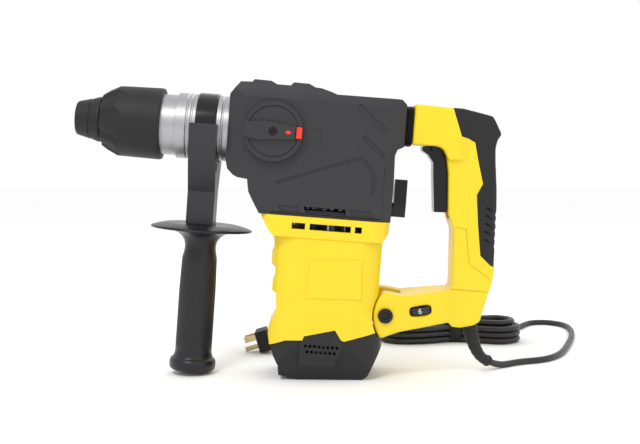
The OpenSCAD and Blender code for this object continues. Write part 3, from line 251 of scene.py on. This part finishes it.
def spline(points, steps):
    """A rounded path through chosen points."""
    out = []
    last = len(points) - 1
    for i in range(last):
        p0, p1, p2, p3 = (Vector(points[min(max(k, 0), last)]) for k in (i - 1, i, i + 1, i + 2))
        for s in range(steps):
            t = s / steps
            out.append(0.5 * (2 * p1 + (p2 - p0) * t + (2 * p0 - 5 * p1 + 4 * p2 - p3) * t * t
                              + (3 * p1 - p0 - 3 * p2 + p3) * t ** 3))
    out.append(Vector(points[-1]))
    return out


def tube_rings(path, radius_at, sides, start_normal):
    """Rings of a swept tube; radius_at takes a share of the way and gives millimetres."""
    rings = []
    normal = Vector(start_normal)
    last = len(path) - 1
    for i, p in enumerate(path):
        tangent = (path[min(i + 1, last)] - path[max(i - 1, 0)]).normalized()
        normal = (normal - tangent * normal.dot(tangent)).normalized()
        side = tangent.cross(normal)
        r = radius_at(i / last)
        rings.append([(p + (normal * math.cos(a) + side * math.sin(a)) * r) * MM
                      for a in (2 * math.pi * j / sides for j in range(sides))])
    return rings


def soften(name, width, angle=25, segments=3, weld=0.02, clamp=True):
    """Rounds the hard edges of a CAD node with modifiers, which leave its mesh as it is."""
    piece = nodes[name]
    custom = piece.data.attributes.get("custom_normal")
    if custom:
        piece.data.attributes.remove(custom)
    piece.data.polygons.foreach_set("use_smooth", [True] * len(piece.data.polygons))
    merge = piece.modifiers.new("merge", "WELD")
    merge.merge_threshold = weld * MM
    join = piece.modifiers.new("join", "DECIMATE")
    join.decimate_type = "DISSOLVE"
    join.angle_limit = math.radians(1.0)
    bevel = piece.modifiers.new("round", "BEVEL")
    bevel.width = width * MM
    bevel.segments = segments
    bevel.limit_method = "ANGLE"
    bevel.use_clamp_overlap = clamp
    bevel.angle_limit = math.radians(angle)
    normals = piece.modifiers.new("normals", "WEIGHTED_NORMAL")
    normals.keep_sharp = True


# ---------------------------------------------------------------- cord, hank, tail and plug
CORD_D = 6.0
RELIEF_ROUTE = [(125.2, 0, 52), (127.6, 0, 41), (130, 0, 31), (133.5, 1.5, 21.5), (139, 5.5, 13.5),
                (146.5, 11, 8.4)]
LEAD_ROUTE = [(147.1, 11.4, 8), (154, 16.5, 5), (163, 24, 3), (180, 36, 3), (207, 50, 3), (226, 75, 3),
              (243, 117, 3), (263, 180, 3), (272, 225, 3), (271, 256, 3), (256, 274, 3), (236, 270, 3),
              (222, 248, 3), (208, 226, 3), (184, 209, 3), (158, 206, 3), (138, 203.2, 3), (122, 200.6, 3.3),
              (106, 196.6, 3.6), (95, 194.2, 3.8)]
TAIL_ROUTE = [(92, 193, 21.8), (80, 193.5, 21.6), (67, 188, 20), (52, 176, 15), (37, 160, 6.5),
              (22, 146, 3.2),
              (8, 134, 4.5), (-8, 121, 10), (-24, 110, 16.5), (-35, 105, 18.6), (-45, 103, 18.2)]
HANK_TURNS = 7
HANK_MID_Y = 169.0
HANK_LEFT_X = 83.0  # centres of the hank's two round ends
HANK_RIGHT_X = 177.0
HANK_OUTER = 25.0  # radii of its two columns of turns
HANK_INNER = 19.0
HANK_LOW_Z = 3.8
HANK_PINCH = 15.0
TIE_X = 135.0
# The places of the turns in the bundle, from where the cord comes in to where it leaves
HANK_PLACES = [(HANK_OUTER, 0), (HANK_INNER, 0), (HANK_INNER, 1), (HANK_OUTER, 1), (HANK_OUTER, 2),
               (HANK_INNER, 2), (HANK_INNER, 3), (HANK_OUTER, 3)]


def smooth_step(t):
    t = min(1.0, max(0.0, t))
    return t * t * (3 - 2 * t)


def pinch(x):
    """How far the runs of the hank are drawn together by its tie."""
    return HANK_PINCH * math.exp(-((x - TIE_X) / 26) ** 2)


def hank_path():
    """Seven turns of a long hank. Each turn shifts one place along its far run."""
    points = []
    for turn in range(HANK_TURNS):
        r0, layer0 = HANK_PLACES[turn]
        r1, layer1 = HANK_PLACES[turn + 1]
        z0, z1 = HANK_LOW_Z + layer0 * CORD_D, HANK_LOW_Z + layer1 * CORD_D
        for i in range(12):
            a = math.pi / 2 + math.pi * i / 12
            points.append((HANK_LEFT_X + r0 * math.cos(a), HANK_MID_Y + r0 * math.sin(a), z0))
        for i in range(10):
            x = HANK_LEFT_X + (HANK_RIGHT_X - HANK_LEFT_X) * i / 10
            points.append((x, HANK_MID_Y - r0 + pinch(x), z0))
        for i in range(12):
            a = -math.pi / 2 + math.pi * i / 12
            points.append((HANK_RIGHT_X + r0 * math.cos(a), HANK_MID_Y + r0 * math.sin(a), z0))
        for i in range(10):
            t = i / 10
            s = smooth_step(t * 1.2)
            x = HANK_RIGHT_X + (HANK_LEFT_X - HANK_RIGHT_X) * t
            points.append((x, HANK_MID_Y + r0 + (r1 - r0) * s - pinch(x), z0 + (z1 - z0) * s))
    return points


def add_cord():
    lead = spline(LEAD_ROUTE, 6)
    hank = spline(hank_path(), 3)
    tail = spline(TAIL_ROUTE[1:], 6)
    path = lead + hank + tail
    rings = tube_rings(path, lambda t: CORD_D / 2, 12, (0, 0, 1))
    cord = bpy.data.objects.new("power_cord", mesh_from_rings("power_cord", rings))
    bpy.context.scene.collection.objects.link(cord)
    paint(cord, CORD)
    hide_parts("cord_lead", "cord_hank", "cord_tail")
    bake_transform(cord)
    length = sum((b - a).length for a, b in zip(path, path[1:])) * MM
    print("cord length", round(length, 3))
    return cord


# ---------------------------------------------------------------- strain relief, tie, grips and small parts
def add_relief():
    """A tapered boot with shallow rings and a bead at its end."""
    path = spline(RELIEF_ROUTE, 12)

    def radius(t):
        taper = 6.9 - 2.2 * smooth_step(t)
        ring = 0.35 * max(0.0, math.sin(t * 2 * math.pi * 9)) if 0.3 < t < 0.9 else 0.0
        bead = 0.7 * math.exp(-((t - 0.95) / 0.025) ** 2)
        return taper - ring + bead

    mesh = mesh_from_rings("relief_boot", tube_rings(path, radius, 28, (0, 1, 0)))
    boot = new_piece("relief_boot", mesh, "handle", RUBBER)
    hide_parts("strain_relief")


def rounded_rect(half_w, half_h, r, n=6):
    """Corners of a rounded rectangle about the origin."""
    return [(sx * (half_w - r) + r * math.cos(a0 + math.pi / 2 * i / n),
             sz * (half_h - r) + r * math.sin(a0 + math.pi / 2 * i / n))
            for sx, sz, a0 in ((1, 1, 0), (-1, 1, math.pi / 2), (-1, -1, math.pi), (1, -1, 1.5 * math.pi))
            for i in range(n + 1)]


def add_tie():
    """A hook and loop strap drawn round both runs of the hank."""
    rings = []
    mid_z = HANK_LOW_Z + 1.5 * CORD_D
    outline = rounded_rect(13.4, 12.4, 5)
    band = [(-6, 0), (-6.6, 0.5), (-6, 1.0), (6, 1.0), (6.6, 0.5), (6, 0)]
    for y, z in outline:
        out = Vector((0, y, z)).normalized()
        wave = 0.15 * math.sin(y * 0.9 + z)
        rings.append([(Vector((TIE_X + dx, HANK_MID_Y + y, mid_z + z)) + out * (dr + wave)) * MM
                      for dx, dr in band])
    rings.append(rings[0])
    mesh = mesh_from_rings("tie_strap", rings, caps=False)
    tie = new_piece("tie_strap", mesh, "body", RUBBER)
    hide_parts("hank_tie")


HUB_TOP = 126.6
GRIP_LOW = -5.9
GRIP_X = -124
GRIP_R = 16.4
GRIP_PROFILE = [(4.1, HUB_TOP), (33, HUB_TOP), (34, HUB_TOP - 0.3), (39, HUB_TOP - 1.4),
                (44.6, HUB_TOP - 3.2),
                (45.5, HUB_TOP - 4.2), (44.6, HUB_TOP - 5.0), (38, HUB_TOP - 5.6), (30, HUB_TOP - 6.4),
                (25, HUB_TOP - 7.3), (21, HUB_TOP - 8.8), (17.6, HUB_TOP - 11.3), (15, HUB_TOP - 15),
                (13.9, HUB_TOP - 19),
                (14, HUB_TOP - 23), (15.6, HUB_TOP - 31), (GRIP_R, HUB_TOP - 60), (GRIP_R, GRIP_LOW + 17.5),
                (GRIP_R + 0.5, GRIP_LOW + 14.5), (GRIP_R + 1.4, GRIP_LOW + 12),
                (GRIP_R + 3.4, GRIP_LOW + 10.4),
                (GRIP_R + 4.3, GRIP_LOW + 8), (GRIP_R + 4.5, GRIP_LOW + 5), (GRIP_R + 4.0, GRIP_LOW + 2),
                (GRIP_R + 2.4, GRIP_LOW + 0.4), (GRIP_R, GRIP_LOW), (0.5, GRIP_LOW)]
KNURL_TOP = HUB_TOP - 26
KNURL_LOW = GRIP_LOW + 20
KNURL_TEETH = 32
KNURL_PITCH = 4.4
KNURL_DEPTH = 0.45


def knurl(angle, z):
    """Depth of two crossing sets of helical grooves, fading out at both ends of the grip."""
    fade = smooth_step((KNURL_TOP - z) / 8) * smooth_step((z - KNURL_LOW) / 4)
    a = angle * KNURL_TEETH / (2 * math.pi)
    cuts = [abs(math.sin(math.pi * (a / 1 + sign * z / KNURL_PITCH))) for sign in (1, -1)]
    return KNURL_DEPTH * fade * (1 - min(1.0, 1.9 * min(cuts)))


def add_side_grip():
    rows = []
    for (r0, z0), (r1, z1) in zip(GRIP_PROFILE, GRIP_PROFILE[1:]):
        length = math.hypot(r1 - r0, z1 - z0)
        in_knurl = z0 <= KNURL_TOP + 8 and z1 >= KNURL_LOW - 6 and r0 < 17
        n = max(1, math.ceil(length / (0.55 if in_knurl else 1.6)))
        rows += [(r0 + (r1 - r0) * i / n, z0 + (z1 - z0) * i / n) for i in range(n)]
    rows.append(GRIP_PROFILE[-1])
    sides = KNURL_TEETH * 8
    rings = []
    for r, z in rows:
        ring = []
        for j in range(sides):
            a = 2 * math.pi * j / sides
            deep = knurl(a, z) if KNURL_LOW < z < KNURL_TOP and r < 20 else 0
            ring.append(tool(GRIP_X + (r - deep) * math.cos(a), (r - deep) * math.sin(a), z))
        rings.append(ring)
    mesh = mesh_from_rings("knurled_grip", rings)
    mesh.flip_normals()
    grip = new_piece("knurled_grip", mesh, "side_grip", GRIP)
    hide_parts("side_grip")


BELLOWS_FRONT = 49.6
BELLOWS_REAR = 56.9
BELLOWS_MID_W = AXIS_H + 14
BELLOWS_HALF_W = 21.5
BELLOWS_HALF_H = 16.5
BELLOWS_CORNER = 7
BELLOWS_FOLDS = 4


def add_bellows():
    rings = []
    steps = 36
    for i in range(steps + 1):
        t = i / steps
        u = BELLOWS_FRONT + (BELLOWS_REAR - BELLOWS_FRONT) * t
        swell = 1.5 * (0.5 - 0.5 * math.cos(2 * math.pi * BELLOWS_FOLDS * t)) - 0.3
        outline = rounded_rect(BELLOWS_HALF_W + swell, BELLOWS_HALF_H + swell, BELLOWS_CORNER, 8)
        rings.append([tool(u, y, BELLOWS_MID_W + w) for y, w in outline])
    mesh = mesh_from_rings("ribbed_bellows", rings)
    bellows = new_piece("ribbed_bellows", mesh, None, RUBBER)
    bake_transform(bellows)
    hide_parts("handle_bellows")


KNOB_X = -64
BAR_FACE_Y = -50.9


def prism(name, outline, depth, place, body, material):
    """A small flat part: outline is [(a, b)], and place turns (a, depth, b) into a point."""
    n = len(outline)
    points = [place(a, 0, b) for a, b in outline] + [place(a, depth, b) for a, b in outline]
    faces = [tuple(range(n)), tuple(range(2 * n - 1, n - 1, -1))]
    faces += [(i, i + n, (i + 1) % n + n, (i + 1) % n) for i in range(n)]
    mesh = bpy.data.meshes.new(name)
    mesh.from_pydata(points, [], faces)
    mesh.update()
    piece = new_piece(name, mesh, body, material)
    edge = piece.modifiers.new("round", "BEVEL")
    edge.width = 0.15 * MM
    edge.segments = 2
    return piece


def add_pointer():
    arrow = [(-2.6, -0.7), (-2.6, 0.7), (-0.8, 0.7), (-0.8, 2.2), (3.2, 0), (-0.8, -2.2), (-0.8, -0.7)]
    prism("pointer_mark", arrow, -0.35,
          lambda a, d, b: tool(KNOB_X + 13 + a, BAR_FACE_Y + d + 0.02, AXIS_H - 0.2 + b),
          "knob", RED)


ARM_TILT = 11.6  # slope of the lower arm of the handle, in degrees
DIAL_X = 75
DIAL_W = 66
DIGIT_Y = -29.35


def add_dial_digit():
    """The figure that shows in the dial's window."""
    tilt = math.radians(ARM_TILT)
    figure = [(0.9, 1.7), (0.1, 2.0), (-0.7, 1.2), (-1.1, -0.4), (-0.8, -1.5), (0, -1.9), (0.8, -1.5),
              (1.05, -0.7), (0.7, 0.1), (0, 0.35), (-0.8, -0.1)]
    stroke = [Vector((a, 0, b)) for a, b in figure]
    path = []
    for p in spline(stroke, 5):
        a, b = p.x * math.cos(tilt) - p.z * math.sin(tilt), p.x * math.sin(tilt) + p.z * math.cos(tilt)
        path.append(tool(DIAL_X + a, DIGIT_Y, DIAL_W + b) / MM)
    mesh = mesh_from_rings("dial_digit", tube_rings(path, lambda t: 0.3, 8, (0, 1, 0)))
    new_piece("dial_digit", mesh, "dial", WHITE_INK)


# ---------------------------------------------------------------- rear handle: one soft form, then its parts
OVERMOULD_EDGE = [(90.2, 252), (90.2, 245.8), (92, 240.9), (99.6, 221.3), (105.9, 220), (112.2, 216.9),
                  (116, 202),
                  (122, 181.4), (117.4, 171.3), (120.7, 145), (125, 118), (134.4, 110), (139.1, 108),
                  (150, 103),
                  (150, 252)]


def outline_cutter(name, outline, y0, y1):
    """A closed prism of a side outline, used only to cut."""
    n = len(outline)
    points = [tool(u, y, w) for y in (y0, y1) for u, w in outline]
    faces = [tuple(range(n)), tuple(range(2 * n - 1, n - 1, -1))]
    faces += [(i, i + n, (i + 1) % n + n, (i + 1) % n) for i in range(n)]
    mesh = bpy.data.meshes.new(name)
    mesh.from_pydata(points, [], faces)
    bm = bmesh.new()
    bm.from_mesh(mesh)
    bmesh.ops.recalc_face_normals(bm, faces=bm.faces)
    bm.to_mesh(mesh)
    bm.free()
    cutter = bpy.data.objects.new(name, mesh)
    bpy.context.scene.collection.objects.link(cutter)
    return cutter


def joined(name, parts):
    """A copy of some CAD nodes as one mesh, in the row frame."""
    bm = bmesh.new()
    for part in parts:
        node = nodes[part]
        copy = node.data.copy()
        copy.transform(node.matrix_world)
        bm.from_mesh(copy)
    bmesh.ops.remove_doubles(bm, verts=bm.verts, dist=0.02 * MM)
    mesh = bpy.data.meshes.new(name)
    bm.to_mesh(mesh)
    bm.free()
    piece = bpy.data.objects.new(name, mesh)
    bpy.context.scene.collection.objects.link(piece)
    return piece


def applied(piece):
    """The mesh of a piece with its modifiers applied."""
    view = bpy.context.evaluated_depsgraph_get()
    return bpy.data.meshes.new_from_object(piece.evaluated_get(view))


def remesh(piece, voxel, rounds, keep):
    shell = piece.modifiers.new("remesh", "REMESH")
    shell.mode = "VOXEL"
    shell.voxel_size = voxel * MM
    smooth = piece.modifiers.new("smooth", "SMOOTH")
    smooth.factor = 0.5
    smooth.iterations = rounds
    thin = piece.modifiers.new("thin", "DECIMATE")
    thin.ratio = keep


def cut_with(piece, cutter, operation):
    step = piece.modifiers.new("cut", "BOOLEAN")
    step.operation = operation
    step.object = cutter
    step.solver = "EXACT"


SURFACE_GROOVES = [[(100, 86.5), (135.4, 86.3)],
                   [(97.7, 137.8), (101.8, 141.5), (110.6, 140.5), (116, 109.9), (135.3, 97.7)]]
GROOVE_HALF_W = 0.5
GROOVE_FLOOR_Y = 18.2
RIBS = 5
RIB_R = 1.7
RIB_U = 138.9  # place of the lowest rib, and the way from each rib to the next
RIB_W = 127
RIB_STEP_U = 0.3
RIB_STEP_W = 7
SIDE_RIB_Y = 17.2
SIDE_RIB_HALF_W = 0.9
CUT_REACH = 8.8


def strip(points, half_w):
    """The outline of a line with a width."""
    left, right = [], []
    last = len(points) - 1
    for i, (u, w) in enumerate(points):
        along = Vector(points[min(i + 1, last)]) - Vector(points[max(i - 1, 0)])
        across = Vector((-along.y, along.x)).normalized() * half_w
        left.append((u + across.x, w + across.y))
        right.append((u - across.x, w - across.y))
    return left + right[::-1]


def rib_place(i):
    return RIB_U - RIB_STEP_U * i, RIB_W + RIB_STEP_W * i


def detail_cutters():
    """Panel lines on both sides of the handle, and the finger ribs over its back."""
    cutters = []
    for side in (-1, 1):
        for i, line in enumerate(SURFACE_GROOVES):
            low, high = sorted((side * GROOVE_FLOOR_Y, side * (GROOVE_FLOOR_Y + 8)))
            outline = strip(line, GROOVE_HALF_W)
            cutters.append(("shell", outline_cutter(f"groove_cutter_{i}", outline, low, high)))
        for i in range(RIBS):
            u, w = rib_place(i)
            low, high = sorted((side * SIDE_RIB_Y, side * (SIDE_RIB_Y + CUT_REACH)))
            outline = strip([(127, w + 6), (u - 1.2, w)], SIDE_RIB_HALF_W)
            cutters.append(("grip", outline_cutter(f"side_rib_cutter_{i}", outline, low, high)))
    for i in range(RIBS):
        u, w = rib_place(i)
        circle = [(u + RIB_R * math.cos(a), w + RIB_R * math.sin(a))
                  for a in (math.pi * k / 8 for k in range(16))]
        cutters.append(("grip", outline_cutter(f"rib_cutter_{i}", circle, -40, 40)))
    return cutters


def add_rear_handle():
    whole = joined("handle_form", ["handle_left", "handle_right", "handle_overmould"])
    remesh(whole, 0.8, 50, 0.35)
    form = applied(whole)
    edge = outline_cutter("overmould_cutter", OVERMOULD_EDGE, -45, 45)
    details = detail_cutters()
    for name, operation, material, slot, stands_for in (
            ("handle_shell", "DIFFERENCE", YELLOW, "yellow_plastic", ("handle_left", "handle_right")),
            ("handle_grip", "INTERSECT", RUBBER, "soft_rubber", ("handle_overmould",))):
        piece = bpy.data.objects.new(name, form.copy())
        bpy.context.scene.collection.objects.link(piece)
        cut_with(piece, edge, operation)
        for place, cutter in details:
            if name.endswith(place):
                cut_with(piece, cutter, "DIFFERENCE")
        mesh = applied(piece)
        bpy.data.objects.remove(piece)
        mesh.polygons.foreach_set("use_smooth", [True] * len(mesh.polygons))
        mesh.set_sharp_from_angle(angle=math.radians(38))
        done = new_piece(name, mesh, "handle", material)
        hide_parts(*stands_for)
    for helper in [whole, edge] + [cutter for place, cutter in details]:
        bpy.data.objects.remove(helper)


add_camera()
paint_cad_nodes()
add_cord()
add_relief()
add_tie()
add_side_grip()
add_bellows()
add_pointer()
add_dial_digit()
add_rear_handle()
add_studio()

BEVELS = {
    "gear_cover_left": 1.2, "gear_cover_right": 1.2, "motor_housing": 1.6, "base_cap": 1.4,
    "selector_knob": 0.7, "lock_button": 0.6, "hammer_lever": 1.2,
    "handle_saddle": 1.2, "clamp_strap": 0.7, "trigger": 2.0, "front_collar": 0.3, "chuck_sleeve": 0.6,
    "dust_cap": 0.5, "speed_dial": 0.3, "hinge_bolt": 0.6, "plug_body": 2.0, "plug_pins": 0.5,
    "knob_screw": 0.2, "tool_holder": 0.2, "housing_screws": 0.2,
}
for name, width in BEVELS.items():
    soften(name, width)
